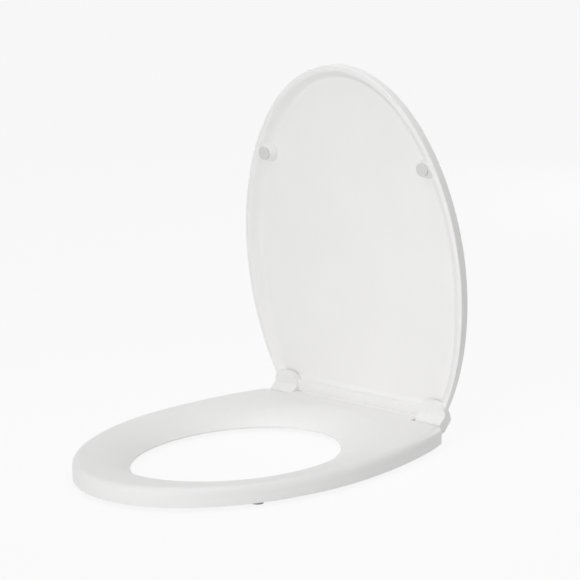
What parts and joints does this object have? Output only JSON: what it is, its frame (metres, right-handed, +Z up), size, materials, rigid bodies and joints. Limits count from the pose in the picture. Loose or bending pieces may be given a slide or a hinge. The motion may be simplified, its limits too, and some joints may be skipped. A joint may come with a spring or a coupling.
{
  "type": "toilet seat",
  "caption": "Oval toilet seat with a hinged ring and a hinged lid on two posts that bolt to the bowl.",
  "frame": {"origin": "on the top of the bowl, midway between the two fixing bolts", "axes": "+X along the hinge, -Y towards the front of the seat, +Z up"},
  "size_m": [0.37, 0.4924, 0.4924],
  "materials": {
    "white_moulding": "glossy moulded white plastic",
    "white_nylon": "satin moulded white nylon",
    "buffer_plastic": "satin pale grey elastomer",
    "grey_rubber": "matt pale grey rubber",
    "bush_plastic": "natural acetal",
    "stainless_steel": "ground stainless steel",
    "brass": "turned brass"
  },
  "bodies": {
    "mount": {"hinge_post_left": "white_nylon", "post_pad_left": "grey_rubber", "thread_insert_left": "brass", "hinge_pin_left": "stainless_steel", "hinge_post_right": "white_nylon", "post_pad_right": "grey_rubber", "thread_insert_right": "brass", "hinge_pin_right": "stainless_steel"},
    "ring": {"seat_ring": "white_moulding", "ring_bush_left": "bush_plastic", "ring_bush_right": "bush_plastic", "ring_buffer_front_left": "grey_rubber", "ring_buffer_front_right": "grey_rubber", "ring_buffer_rear_left": "grey_rubber", "ring_buffer_rear_right": "grey_rubber"},
    "lid": {"lid": "white_moulding", "lid_bush_left": "bush_plastic", "lid_buffer_left": "buffer_plastic", "lid_bush_right": "bush_plastic", "lid_buffer_right": "buffer_plastic"}
  },
  "joints": [
    {"name": "ring_hinge", "type": "hinge", "parent": "mount", "child": "ring", "pos_m": [0, 0.01, 0.0225], "axis": [-1, 0, 0], "range_deg": [0, 85]},
    {"name": "lid_hinge", "type": "hinge", "parent": "ring", "child": "lid", "pos_m": [0, 0.01, 0.0225], "axis": [-1, 0, 0], "range_deg": [-83, 15]}
  ]
}
